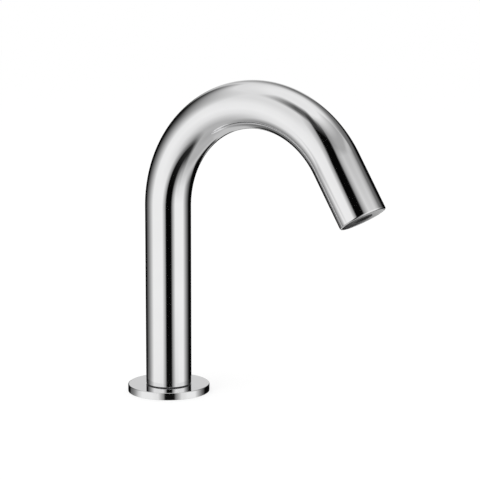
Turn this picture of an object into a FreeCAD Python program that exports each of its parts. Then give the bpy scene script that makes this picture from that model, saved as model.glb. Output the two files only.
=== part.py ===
import FreeCAD, Part
import math
import os
import Sketcher

# Deck-mounted sensor tap: a bent tube that swivels on a fixed base, with a sensor beside its aerator.
# Frame: origin on the deck under the middle of the base, +Z up, +X the way the spout points.
# The outlet has a frame of its own: origin in the middle of the tube's end, +Z out along the water
# jet, +X towards the column. Heights above the end face are therefore negative there.

SHEET = [
    # the spout's tube and its line
    ("tube_diameter", 32.0, "outside of the spout's tube"),
    ("tube_wall", 2.0, "wall of the spout's tube"),
    ("column_height", 131.65, "deck to the start of the bend"),
    ("bend_radius", 73.2, "centre line of the bend"),
    ("bend_sweep", 149.1, "degrees that the tube bends through"),
    ("outlet_length", 39.7, "straight length after the bend"),
    ("foot_round", 0.4, "rounding of the tube's outer edge at its foot"),
    ("mouth_round", 1.0, "rounding of the tube's outer edge at its outlet"),
    # the fixed base
    ("flange_diameter", 57.6, "cover flange"),
    ("flange_thickness", 5.0, "cover flange"),
    ("flange_rim_round", 0.6, "rounding of the flange's upper rim"),
    ("foot_diameter", 44.0, "foot disc under the flange"),
    ("foot_thickness", 3.0, "foot disc under the flange"),
    ("foot_ring_thickness", 0.5, "glide ring between flange and tube"),
    ("foot_ring_inset", 0.3, "glide ring's edge behind the tube's face"),
    ("spigot_height", 50.0, "deck to the top of the spigot that the tube turns on"),
    ("spigot_gap", 0.4, "radial gap between spigot and tube"),
    ("spigot_wall", 2.6, "wall of the spigot"),
    ("web_height", 12.0, "solid lower part of the spigot"),
    ("boss_diameter", 12.8, "socket tube in the middle of the spigot"),
    ("boss_height", 34.0, "deck to the top of the socket tube"),
    ("glide_ring_height", 3.0, "each glide ring on the spigot"),
    ("glide_ring_depth", 0.8, "groove of each glide ring"),
    ("lower_glide_level", 8.0, "underside of the lower glide ring"),
    ("upper_glide_level", 44.0, "underside of the upper glide ring"),
    ("friction_ring_level", 31.0, "middle of the rubber ring on the spigot"),
    ("friction_ring_section", 1.6, "thickness of the rubber ring on the spigot"),
    ("running_gap", 0.05, "radial running clearance"),
    ("seat_gap", 0.05, "clearance between fixed pieces"),
    ("slip_gap", 0.2, "axial play beside a turning piece"),
    ("groove_share", 0.6, "half height of a rubber ring's groove over the ring's thickness"),
    # deck fixing
    ("stud_hole_diameter", 5.0, "thread of the two fixing studs"),
    ("stud_hole_depth", 10.0, "blind depth of the stud holes"),
    ("stud_setback", 5.5, "stud holes behind the middle"),
    ("stud_spacing", 16.0, "between the two stud holes"),
    ("gasket_inner_diameter", 48.0, "deck gasket"),
    ("gasket_width", 3.4, "deck gasket"),
    ("gasket_thickness", 1.2, "deck gasket"),
    ("grip_ring_section", 1.5, "rubber ring that holds the flange on the foot"),
    # swivel stop
    ("swivel_half_angle", 60.0, "degrees that the spout turns to each side"),
    ("stop_level", 20.0, "height of the stop screw"),
    ("stop_screw_diameter", 4.0, "stop screw"),
    ("stop_dog_diameter", 2.5, "dog point of the stop screw"),
    ("stop_dog_length", 1.9, "dog point of the stop screw"),
    ("stop_slot_depth", 1.6, "slot in the spigot"),
    ("stop_slot_margin", 0.1, "slot wider than the dog point, each side"),
    ("stop_hex_flats", 2.0, "hexagon socket of the stop screw"),
    ("stop_hex_depth", 1.1, "hexagon socket of the stop screw"),
    ("stop_screw_inset", 0.2, "screw head behind the tube's face"),
    # lead passage
    ("passage_half_angle", 78.0, "degrees that the lead's window spans to each side"),
    ("passage_inner_diameter", 13.2, "lead's window in the web"),
    ("lead_diameter", 2.4, "sensor lead"),
    ("plug_gap", 0.3, "gap between the plug and its window, each side"),
    ("plug_length", 10.0, "plug on the lead"),
    ("plug_level", 0.8, "underside of the plug"),
    ("plug_pin_diameter", 0.8, "contact holes of the plug"),
    ("plug_pin_spacing", 1.3, "contact holes of the plug"),
    ("clip_thickness", 3.0, "clip that holds the lead to the hose"),
    ("clip_wall", 1.0, "clip that holds the lead to the hose"),
    ("lower_clip_level", 70.0, "underside of the lower clip"),
    ("upper_clip_level", 112.0, "underside of the upper clip"),
    # inlet and non-return valve
    ("inlet_diameter", 11.0, "thread of the water inlet, minor diameter"),
    ("inlet_depth", 9.0, "thread of the water inlet"),
    ("valve_diameter", 8.6, "non-return cartridge"),
    ("valve_bottom", 9.5, "underside of the non-return cartridge"),
    ("valve_chamber_top", 22.0, "roof of the cartridge's chamber"),
    ("valve_wall", 0.8, "wall of the cartridge"),
    ("valve_seat_thickness", 1.5, "seat of the cartridge"),
    ("valve_seat_diameter", 4.4, "hole of the seat"),
    ("valve_ring_section", 0.48, "rubber ring round the cartridge"),
    ("valve_ring_level", 17.0, "middle of the rubber ring round the cartridge"),
    ("poppet_diameter", 5.8, "poppet's head"),
    ("poppet_head_thickness", 1.2, "poppet's head"),
    ("poppet_seal_thickness", 0.6, "rubber face of the poppet"),
    ("poppet_stub_diameter", 2.0, "stub that holds the rubber face"),
    ("poppet_stub_length", 0.5, "stub below the rubber face"),
    ("poppet_stem_diameter", 1.6, "poppet's stem"),
    ("poppet_stem_reach", 1.2, "stem above its guide"),
    ("guide_thickness", 1.2, "guide of the stem"),
    ("guide_top_drop", 0.5, "guide below the cartridge's top"),
    ("guide_window_diameter", 1.3, "water holes of the guide"),
    ("guide_window_pitch", 2.2, "water holes from the middle of the guide"),
    ("guide_window_count", 6, "water holes of the guide"),
    ("spring_diameter", 3.8, "poppet's spring, middle of the wire"),
    ("spring_wire", 0.4, "poppet's spring"),
    ("spring_turns", 6.0, "poppet's spring"),
    ("throat_diameter", 6.4, "water way above the cartridge"),
    # hose and its end fittings
    ("socket_diameter", 9.9, "socket that the lower nipple turns in"),
    ("socket_depth", 10.0, "socket that the lower nipple turns in"),
    ("hose_diameter", 10.0, "water hose"),
    ("hose_bore", 7.0, "water hose"),
    ("nipple_bore", 6.0, "both nipples"),
    ("nipple_collar_diameter", 11.6, "collar of the nipples"),
    ("nipple_collar_height", 1.6, "collar of the nipples"),
    ("nipple_tail_length", 13.0, "hose tail of the nipples"),
    ("nipple_barb_depth", 0.2, "barbs of the hose tails"),
    ("nipple_ring_section", 1.2, "rubber rings of the nipples"),
    ("nut_wall", 0.8, "union nut on the socket tube"),
    ("nut_height", 9.4, "union nut on the socket tube"),
    ("nut_roof", 1.0, "union nut's inner lip"),
    ("ferrule_wall", 0.8, "crimped ferrules"),
    ("ferrule_length", 11.0, "crimped ferrules"),
    # outlet insert
    ("insert_length", 24.0, "outlet insert"),
    ("insert_recess", 0.2, "insert's face behind the tube's edge"),
    ("insert_ring_section", 1.4, "rubber ring round the insert"),
    ("insert_ring_level", 21.5, "middle of that ring behind the tube's edge"),
    ("outlet_thread_depth", 8.0, "thread of the upper nipple in the insert"),
    ("chamber_diameter", 10.4, "water chamber behind the aerator"),
    ("chamber_depth", 4.5, "water chamber behind the aerator"),
    ("lock_screw_diameter", 3.0, "screw that locks the insert"),
    ("lock_screw_length", 5.0, "screw that locks the insert"),
    ("lock_screw_level", 18.5, "lock screw behind the tube's edge"),
    ("lock_hex_flats", 1.5, "hexagon socket of the lock screw"),
    ("lock_hex_depth", 1.5, "hexagon socket of the lock screw"),
    # aerator
    ("aerator_offset", 0.0, "aerator beside the outlet's middle, away from the column"),
    ("aerator_diameter", 13.0, "aerator housing"),
    ("aerator_length", 9.0, "aerator housing"),
    ("aerator_wall", 1.25, "aerator housing"),
    ("aerator_lip", 0.7, "inner lip at the aerator's mouth"),
    ("aerator_lip_height", 1.2, "inner lip at the aerator's mouth"),
    ("aerator_core_length", 6.4, "jet former"),
    ("aerator_hole_diameter", 1.3, "jet former's holes"),
    ("aerator_hole_pitch", 2.0, "between rings of the jet former's holes"),
    ("aerator_hole_count", 6, "holes of the inner ring; each ring further out has as many more"),
    ("aerator_screen_thickness", 0.4, "strainer screen"),
    ("screen_hole_diameter", 0.8, "strainer screen's holes"),
    ("aerator_washer_thickness", 1.0, "aerator's washer"),
    ("aerator_washer_width", 1.9, "aerator's washer"),
    # sensor
    ("window_margin", 0.5, "metal of the insert outside the sensor window"),
    ("window_web", 0.8, "metal between the aerator and the window's straight side"),
    ("window_thickness", 1.5, "sensor window"),
    ("sensor_margin", 3.15, "middle of the sensor and its lead inside the insert's edge"),
    ("sensor_width", 3.8, "sensor housing, along the spout's plane"),
    ("sensor_breadth", 9.0, "sensor housing, across the spout's plane"),
    ("sensor_length", 13.0, "sensor housing"),
    ("sensor_wall", 0.45, "sensor housing"),
    ("sensor_front", 0.8, "front wall of the sensor housing"),
    ("diode_diameter", 2.4, "infrared diodes"),
    ("diode_spacing", 4.6, "between the two diodes"),
    ("diode_dome_share", 0.45, "rounding of a diode's front over its diameter"),
    ("board_thickness", 0.8, "sensor's circuit board"),
    ("board_level", 7.6, "front of the circuit board behind the tube's edge"),
    ("cap_thickness", 1.6, "rear cap of the sensor"),
]

# lengths below this are nought; edges are told apart to this; a cut starts this far outside the metal
SMALL = 0.000001
MATCH = 0.001
OVERSHOOT = 1.0


class Size:
    """A length or angle: its value now, and the expression that works it out from the sheet."""

    def __init__(self, value, text):
        self.value = value
        self.text = text

    def joined(self, other, sign, value):
        return Size(value, "(%s %s %s)" % (self.text, sign, size(other).text))

    def __add__(self, other):
        return self.joined(other, "+", self.value + size(other).value)

    def __sub__(self, other):
        return self.joined(other, "-", self.value - size(other).value)

    def __mul__(self, other):
        return self.joined(other, "*", self.value * size(other).value)

    def __truediv__(self, other):
        return self.joined(other, "/", self.value / size(other).value)

    def __neg__(self):
        return Size(-self.value, "(0 - %s)" % self.text)


def size(thing):
    return thing if isinstance(thing, Size) else Size(float(thing), repr(float(thing)))


def sine(angle):
    return Size(math.sin(math.radians(angle.value)), "sin(%s)" % angle.text)


def cosine(angle):
    return Size(math.cos(math.radians(angle.value)), "cos(%s)" % angle.text)


def arc_sine(ratio):
    """The angle in degrees, as a plain number."""
    return Size(math.degrees(math.asin(ratio.value)), "(asin(%s) / 1 deg)" % ratio.text)


def square_root(number):
    return Size(math.sqrt(number.value), "sqrt(%s)" % number.text)


doc = FreeCAD.newDocument("sensor_tap")
sheet = doc.addObject("Spreadsheet::Sheet", "Sizes")
for row, (alias, number, note) in enumerate(SHEET, start=1):
    sheet.set("A%d" % row, alias)
    sheet.set("B%d" % row, str(number))
    sheet.set("C%d" % row, note)
    sheet.setAlias("B%d" % row, alias)
doc.recompute()


class Sizes:
    """The sheet's sizes by name."""


for alias, number, note in SHEET:
    setattr(Sizes, alias, Size(number, "Sizes." + alias))

nodes = []

# ---------------------------------------------------------------- sizes that several pieces share
tube_outer = Sizes.tube_diameter / 2
tube_inner = tube_outer - Sizes.tube_wall
outlet_x = Sizes.bend_radius * (size(1) - cosine(Sizes.bend_sweep)) \
    + Sizes.outlet_length * sine(Sizes.bend_sweep)
outlet_z = Sizes.column_height + Sizes.bend_radius * sine(Sizes.bend_sweep) \
    + Sizes.outlet_length * cosine(Sizes.bend_sweep)
tube_foot = Sizes.flange_thickness + Sizes.foot_ring_thickness + Sizes.seat_gap
spigot_radius = tube_inner - Sizes.spigot_gap
spigot_bore = spigot_radius - Sizes.spigot_wall
glide_groove = spigot_radius - Sizes.glide_ring_depth
friction_groove = tube_inner - Sizes.friction_ring_section
grip_ring_outer = Sizes.foot_diameter / 2 + Sizes.slip_gap
stop_slot_radius = spigot_radius - Sizes.stop_slot_depth
stop_shoulder = tube_inner + Sizes.seat_gap
stop_tip = stop_shoulder - Sizes.stop_dog_length
boss_radius = Sizes.boss_diameter / 2
socket_radius = Sizes.socket_diameter / 2
socket_floor = Sizes.boss_height - Sizes.socket_depth
valve_radius = Sizes.valve_diameter / 2
valve_top = Sizes.valve_chamber_top - Sizes.seat_gap
valve_bore = valve_radius - Sizes.valve_wall
seat_level = Sizes.valve_bottom + Sizes.valve_seat_thickness
guide_top = valve_top - Sizes.guide_top_drop
guide_bottom = guide_top - Sizes.guide_thickness
spring_bottom = seat_level + Sizes.poppet_seal_thickness + Sizes.poppet_head_thickness
hose_radius = Sizes.hose_diameter / 2
hose_bore_radius = Sizes.hose_bore / 2
tail_radius = hose_bore_radius - Sizes.seat_gap
collar_radius = Sizes.nipple_collar_diameter / 2
collar_bottom = Sizes.boss_height + Sizes.slip_gap
collar_top = collar_bottom + Sizes.nipple_collar_height
nut_top = collar_top + Sizes.slip_gap + Sizes.nut_roof
hose_bottom = nut_top + Sizes.slip_gap
insert_radius = tube_inner - Sizes.seat_gap
insert_back = Sizes.insert_recess + Sizes.insert_length
window_radius = insert_radius - Sizes.window_margin
sensor_offset = insert_radius - Sizes.sensor_margin
upper_collar_back = insert_back + Sizes.nipple_collar_height
hose_end = upper_collar_back + Sizes.slip_gap
aerator_radius = Sizes.aerator_diameter / 2
window_edge = aerator_radius - Sizes.aerator_offset + Sizes.window_web
aerator_bore = aerator_radius - Sizes.aerator_wall
aerator_mouth = aerator_bore - Sizes.aerator_lip
washer_back = Sizes.aerator_length + Sizes.aerator_washer_thickness
chamber_radius = Sizes.chamber_diameter / 2
chamber_back = washer_back + Sizes.chamber_depth
window_front = Sizes.insert_recess
window_back = window_front + Sizes.window_thickness
sensor_front_level = window_back + Sizes.seat_gap
sensor_back_level = sensor_front_level + Sizes.sensor_length
lead_radius = Sizes.lead_diameter / 2
passage_inner = Sizes.passage_inner_diameter / 2
lead_offset = (passage_inner + spigot_bore) / 2
plug_radius = (spigot_bore - passage_inner) / 2 - Sizes.plug_gap


# ---------------------------------------------------------------- how shapes are drawn
def bind(thing, setting, amount):
    """Ties a setting to the sheet, or sets it where the amount is the same whatever the sheet says."""
    thing.setExpression(setting, size(amount).text)


def new_body(label, outlet=False):
    body = doc.addObject("PartDesign::Body", label)
    body.Label = label
    if outlet:
        body.setExpression("Placement", "create(<<placement>>; create(<<vector>>; %s; 0; %s); "
                           "create(<<rotation>>; create(<<vector>>; 0; 1; 0); %s))"
                           % (outlet_x.text, outlet_z.text, Sizes.bend_sweep.text))
        doc.recompute()
    nodes.append(body)
    return body


def new_sketch(body, name, plane, level=None):
    """A sketch on one of the body's own planes, moved along the plane's normal to a level."""
    sketch = body.newObject("Sketcher::SketchObject", body.Label + "_" + name)
    support = [item for item in body.Origin.OriginFeatures if item.Role == plane][0]
    sketch.AttachmentSupport = [(support, "")]
    sketch.MapMode = "FlatFace"
    if level is not None:
        bind(sketch, "AttachmentOffset.Base.z", level)
    return sketch


def hold(sketch, kind, geometry, point, amount):
    """Sets one coordinate of a point from the sketch's origin."""
    number = sketch.addConstraint(
        Sketcher.Constraint(kind, -1, 1, geometry, point, size(amount).value))
    bind(sketch, "Constraints[%d]" % number, amount)


def hold_point(sketch, geometry, point, x, y):
    hold(sketch, "DistanceX", geometry, point, x)
    hold(sketch, "DistanceY", geometry, point, y)


def hold_radius(sketch, geometry, amount):
    number = sketch.addConstraint(Sketcher.Constraint("Radius", geometry, amount.value))
    bind(sketch, "Constraints[%d]" % number, amount)


def spot(x, y):
    return FreeCAD.Vector(size(x).value, size(y).value, 0)


def add_circle(sketch, x, y, radius):
    number = sketch.addGeometry(Part.Circle(spot(x, y), FreeCAD.Vector(0, 0, 1), radius.value))
    hold_radius(sketch, number, radius)
    hold_point(sketch, number, 3, x, y)


def add_outline(sketch, corners):
    """A closed outline of straight edges through corners."""
    count = len(corners)
    first = sketch.GeometryCount
    for index, corner in enumerate(corners):
        after = corners[(index + 1) % count]
        sketch.addGeometry(Part.LineSegment(spot(*corner), spot(*after)))
    for index, corner in enumerate(corners):
        edge_before = first + (index - 1) % count
        sketch.addConstraint(Sketcher.Constraint("Coincident", edge_before, 2, first + index, 1))
        hold_point(sketch, first + index, 1, *corner)


def add_segment(sketch, radius, edge):
    """A circle's part beyond a straight edge: a chord at x = edge, and the arc round +X."""
    half = square_root(radius * radius - edge * edge)
    lower = spot(edge, -half)
    upper = spot(edge, half)
    chord = sketch.addGeometry(Part.LineSegment(upper, lower))
    bow = sketch.addGeometry(Part.Arc(lower, spot(radius, 0), upper))
    sketch.addConstraint(Sketcher.Constraint("Coincident", chord, 2, bow, 1))
    sketch.addConstraint(Sketcher.Constraint("Coincident", chord, 1, bow, 2))
    hold_point(sketch, chord, 1, edge, half)
    hold_point(sketch, chord, 2, edge, -half)
    hold_radius(sketch, bow, radius)


def add_hexagon(sketch, x, y, flats):
    """A hexagon with two flats square to the sketch's own Y axis."""
    corner_radius = flats / math.sqrt(3)
    corners = []
    for turn in range(0, 360, 60):
        corners.append((size(x) + corner_radius * math.cos(math.radians(turn)),
                        size(y) + corner_radius * math.sin(math.radians(turn))))
    add_outline(sketch, corners)


def feature(body, kind, name, sketch):
    made = body.newObject("PartDesign::" + kind, body.Label + "_" + name)
    made.Profile = sketch
    sketch.Visibility = False
    return made


def revolve(body, name, sketch, angle=360, cut=False, both_ways=False):
    kind = "Groove" if cut else "Revolution"
    made = feature(body, kind, name, sketch)
    made.ReferenceAxis = (sketch, ["V_Axis"])
    bind(made, "Angle", angle)
    made.Midplane = both_ways
    doc.recompute()
    return made


def pad(body, name, sketch, length, reverse=False):
    made = feature(body, "Pad", name, sketch)
    bind(made, "Length", length)
    made.Reversed = reverse
    doc.recompute()
    return made


def pocket(body, name, sketch, length, reverse=False):
    """Cuts against the sketch's normal, or along it in reverse, and makes sure that it cut."""
    before = body.Shape.Volume
    made = feature(body, "Pocket", name, sketch)
    bind(made, "Length", length)
    made.Reversed = reverse
    doc.recompute()
    if not body.Shape.Volume < before - SMALL:
        raise RuntimeError("%s of %s cuts nothing" % (name, body.Label))
    return made


def turned(label, corners, outlet=False):
    """A piece turned about its own Z axis, from an outline of (radius, height) corners."""
    body = new_body(label, outlet)
    sketch = new_sketch(body, "outline", "XZ_Plane")
    add_outline(sketch, corners)
    revolve(body, "turn", sketch)
    return body


def washer(label, inner, outer, bottom, top, outlet=False):
    return turned(label, [(inner, bottom), (outer, bottom), (outer, top), (inner, top)], outlet)


def round_ring(label, outer, section, level, outlet=False):
    """A rubber ring of round section that reaches out to a radius."""
    body = new_body(label, outlet)
    sketch = new_sketch(body, "section", "XZ_Plane")
    add_circle(sketch, outer - section / 2, level, section / 2)
    revolve(body, "turn", sketch)
    return body


def round_hole(body, name, x, y, radius, top, depth):
    """A hole down from a level."""
    sketch = new_sketch(body, name + "_circle", "XY_Plane", top)
    add_circle(sketch, x, y, radius)
    return pocket(body, name, sketch, depth)


def turned_cut(body, name, corners, angle=360, both_ways=False):
    before = body.Shape.Volume
    sketch = new_sketch(body, name + "_outline", "XZ_Plane")
    add_outline(sketch, corners)
    made = revolve(body, name, sketch, angle, cut=True, both_ways=both_ways)
    if not body.Shape.Volume < before - SMALL:
        raise RuntimeError("%s of %s cuts nothing" % (name, body.Label))
    return made


def circle_edges(made, radius, level=None):
    """Names of a feature's circular edges of one radius, at one level where it is given."""
    names = []
    for number, edge in enumerate(made.Shape.Edges, start=1):
        curve = edge.Curve
        if not isinstance(curve, Part.Circle) or abs(curve.Radius - size(radius).value) > MATCH:
            continue
        if level is None or abs(curve.Center.z - size(level).value) < MATCH:
            names.append("Edge%d" % number)
    return names


def soften(body, name, made, edges, radius, kind="Fillet"):
    """Rounds or bevels edges of the body's last feature."""
    if not edges:
        raise RuntimeError("%s of %s has no edge" % (name, body.Label))
    blend = body.newObject("PartDesign::" + kind, body.Label + "_" + name)
    blend.Base = (made, edges)
    bind(blend, "Radius" if kind == "Fillet" else "Size", radius)
    doc.recompute()
    return blend


def ring_pattern(body, name, originals, count):
    """Repeats features evenly round the body's Z axis."""
    made = body.newObject("PartDesign::PolarPattern", body.Label + "_" + name)
    made.Originals = originals
    made.Axis = (originals[0].Profile[0], ["N_Axis"])
    made.Angle = 360
    bind(made, "Occurrences", count)
    body.Tip = made
    doc.recompute()
    return made


def bent_line(body, start, bend_start, bend_end, end, radius):
    """The line that a tube follows in the spout's plane: up, round and out."""
    path = new_sketch(body, "line", "XZ_Plane")
    middle_angle = math.radians(Sizes.bend_sweep.value / 2)
    middle = FreeCAD.Vector(bend_start[0].value + radius.value * (1 - math.cos(middle_angle)),
                            bend_start[1].value + radius.value * math.sin(middle_angle), 0)
    rise = path.addGeometry(Part.LineSegment(spot(*start), spot(*bend_start)))
    bend = path.addGeometry(Part.Arc(spot(*bend_start), middle, spot(*bend_end)))
    fall = path.addGeometry(Part.LineSegment(spot(*bend_end), spot(*end)))
    # the arc may keep its ends the other way round, so each end is matched by its place
    near = 1 if path.getPoint(bend, 1).distanceToPoint(spot(*bend_start)) < SMALL else 2
    path.addConstraint(Sketcher.Constraint("Coincident", rise, 2, bend, near))
    path.addConstraint(Sketcher.Constraint("Coincident", fall, 1, bend, 3 - near))
    hold_point(path, rise, 1, *start)
    hold_point(path, rise, 2, *bend_start)
    hold_point(path, fall, 1, *bend_end)
    hold_point(path, fall, 2, *end)
    hold_radius(path, bend, radius)
    return path


def on_bend(offset, along):
    """A point beside the outlet's line: offset towards the column, along from the bend's end."""
    reach = Sizes.bend_radius - offset
    x = Sizes.bend_radius - reach * cosine(Sizes.bend_sweep) + along * sine(Sizes.bend_sweep)
    z = Sizes.column_height + reach * sine(Sizes.bend_sweep) + along * cosine(Sizes.bend_sweep)
    return x, z


def bent_tube(label, outer, inner, offset, outlet_offset, bottom, end_along):
    """A tube or solid cord that goes up the column, round the bend and along the outlet."""
    body = new_body(label)
    shift = outlet_offset - offset
    radius = (Sizes.bend_radius - outlet_offset
              + cosine(Sizes.bend_sweep) * (offset - Sizes.bend_radius)) \
        / (size(1) - cosine(Sizes.bend_sweep))
    slip = sine(Sizes.bend_sweep) * (offset - Sizes.bend_radius + radius)
    path = bent_line(body, (size(offset), bottom), (size(offset), Sizes.column_height),
                     on_bend(size(offset) + shift, slip), on_bend(size(offset) + shift, end_along),
                     radius)
    section = new_sketch(body, "section", "XY_Plane", bottom)
    add_circle(section, offset, 0, outer)
    if inner is not None:
        add_circle(section, offset, 0, inner)
    doc.recompute()
    pipe = body.newObject("PartDesign::AdditivePipe", label + "_pipe")
    pipe.Profile = section
    pipe.Spine = (path, [])
    doc.recompute()
    length = path.Shape.Length
    area = math.pi * (outer.value ** 2 - (inner.value ** 2 if inner is not None else 0))
    print("%s: length %.1f mm, bend radius %.1f mm, volume over section times length %.5f"
          % (label, length, radius.value, body.Shape.Volume / (area * length)))
    return body


# ---------------------------------------------------------------- fixed base
def make_base_body():
    """Foot disc, spigot and socket tube in one turned brass piece, with its bores and slots."""
    body = turned("base_body", [
        (size(0), size(0)), (Sizes.foot_diameter / 2, size(0)),
        (Sizes.foot_diameter / 2, Sizes.foot_thickness), (spigot_radius, Sizes.foot_thickness),
        (spigot_radius, Sizes.spigot_height), (spigot_bore, Sizes.spigot_height),
        (spigot_bore, Sizes.web_height), (boss_radius, Sizes.web_height),
        (boss_radius, Sizes.boss_height), (size(0), Sizes.boss_height)])
    turned_cut(body, "water_way", [
        (size(0), size(0)), (Sizes.inlet_diameter / 2, size(0)),
        (Sizes.inlet_diameter / 2, Sizes.inlet_depth), (valve_radius + Sizes.seat_gap, Sizes.inlet_depth),
        (valve_radius + Sizes.seat_gap, Sizes.valve_chamber_top),
        (Sizes.throat_diameter / 2, Sizes.valve_chamber_top), (Sizes.throat_diameter / 2, socket_floor),
        (socket_radius, socket_floor), (socket_radius, Sizes.boss_height), (size(0), Sizes.boss_height)])
    for name, level in (("lower_groove", Sizes.lower_glide_level),
                        ("upper_groove", Sizes.upper_glide_level)):
        turned_cut(body, name, [
            (glide_groove, level), (tube_inner, level),
            (tube_inner, level + Sizes.glide_ring_height), (glide_groove, level + Sizes.glide_ring_height)])
    half_ring = Sizes.friction_ring_section * Sizes.groove_share
    turned_cut(body, "friction_groove", [
        (friction_groove, Sizes.friction_ring_level - half_ring),
        (tube_inner, Sizes.friction_ring_level - half_ring),
        (tube_inner, Sizes.friction_ring_level + half_ring),
        (friction_groove, Sizes.friction_ring_level + half_ring)])
    grip_floor = grip_ring_outer - Sizes.grip_ring_section - Sizes.seat_gap
    grip_level = Sizes.foot_thickness / 2
    grip_half = Sizes.grip_ring_section / 2 + Sizes.seat_gap
    turned_cut(body, "grip_groove", [
        (grip_floor, grip_level - grip_half), (grip_ring_outer, grip_level - grip_half),
        (grip_ring_outer, grip_level + grip_half), (grip_floor, grip_level + grip_half)])

    stop_half = Sizes.stop_dog_diameter / 2 + Sizes.stop_slot_margin
    slot = new_sketch(body, "stop_slot_outline", "XZ_Plane")
    add_outline(slot, [
        (-stop_slot_radius, Sizes.stop_level - stop_half), (-tube_inner, Sizes.stop_level - stop_half),
        (-tube_inner, Sizes.stop_level + stop_half), (-stop_slot_radius, Sizes.stop_level + stop_half)])
    dog_angle = arc_sine(stop_half / stop_tip)
    revolve(body, "stop_slot", slot, (Sizes.swivel_half_angle + dog_angle) * 2, cut=True, both_ways=True)

    passage = new_sketch(body, "lead_passage_outline", "XZ_Plane")
    add_outline(passage, [
        (passage_inner, size(-OVERSHOOT)), (spigot_bore, size(-OVERSHOOT)),
        (spigot_bore, Sizes.web_height + OVERSHOOT),
        (passage_inner, Sizes.web_height + OVERSHOOT)])
    revolve(body, "lead_passage", passage, Sizes.passage_half_angle * 2, cut=True, both_ways=True)

    studs = new_sketch(body, "stud_circles", "XY_Plane")
    for side in (-1, 1):
        add_circle(studs, -Sizes.stud_setback, Sizes.stud_spacing / 2 * side, Sizes.stud_hole_diameter / 2)
    pocket(body, "stud_holes", studs, Sizes.stud_hole_depth, reverse=True)


def make_cover_flange():
    """Chromed flange that drops over the foot disc, with a recess and a gasket groove under it."""
    rim = Sizes.flange_diameter / 2
    recess = grip_ring_outer + Sizes.seat_gap
    recess_top = Sizes.foot_thickness + Sizes.seat_gap
    bore = spigot_radius + Sizes.seat_gap * 2
    gasket_inner = Sizes.gasket_inner_diameter / 2
    gasket_outer = gasket_inner + Sizes.gasket_width
    body = turned("cover_flange", [
        (recess, size(0)), (gasket_inner, size(0)), (gasket_inner, Sizes.gasket_thickness),
        (gasket_outer, Sizes.gasket_thickness), (gasket_outer, size(0)), (rim, size(0)),
        (rim, Sizes.flange_thickness), (bore, Sizes.flange_thickness), (bore, recess_top),
        (recess, recess_top)])
    soften(body, "rim_round", body.Tip, circle_edges(body.Tip, rim, Sizes.flange_thickness),
           Sizes.flange_rim_round)


def make_base_rings():
    """Rubber and plastic rings between base, flange, deck and tube."""
    gasket_inner = Sizes.gasket_inner_diameter / 2
    washer("deck_gasket", gasket_inner + Sizes.seat_gap,
           gasket_inner + Sizes.gasket_width - Sizes.seat_gap, size(0), Sizes.gasket_thickness)
    round_ring("flange_grip_ring", grip_ring_outer, Sizes.grip_ring_section, Sizes.foot_thickness / 2)
    washer("foot_glide_ring", spigot_radius + Sizes.seat_gap * 2, tube_outer - Sizes.foot_ring_inset,
           Sizes.flange_thickness, Sizes.flange_thickness + Sizes.foot_ring_thickness)
    for label, level in (("lower_glide_ring", Sizes.lower_glide_level),
                         ("upper_glide_ring", Sizes.upper_glide_level)):
        washer(label, glide_groove + Sizes.seat_gap, tube_inner - Sizes.running_gap,
               level + Sizes.seat_gap, level + Sizes.glide_ring_height - Sizes.seat_gap)
    round_ring("spigot_friction_ring", tube_inner - Sizes.running_gap,
               Sizes.friction_ring_section - Sizes.seat_gap * 2, Sizes.friction_ring_level)


def make_union_nut():
    """Union nut that keeps the lower nipple in the socket tube and lets it turn."""
    nut_bore = boss_radius + Sizes.seat_gap
    nut_outer = nut_bore + Sizes.nut_wall
    neck = hose_radius + Sizes.slip_gap
    body = turned("union_nut", [
        (nut_bore, nut_top - Sizes.nut_height), (nut_outer, nut_top - Sizes.nut_height),
        (nut_outer, nut_top), (neck, nut_top), (neck, nut_top - Sizes.nut_roof),
        (nut_bore, nut_top - Sizes.nut_roof)])
    soften(body, "bevel", body.Tip, circle_edges(body.Tip, nut_outer, nut_top), Sizes.nut_wall / 2,
           "Chamfer")


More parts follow.
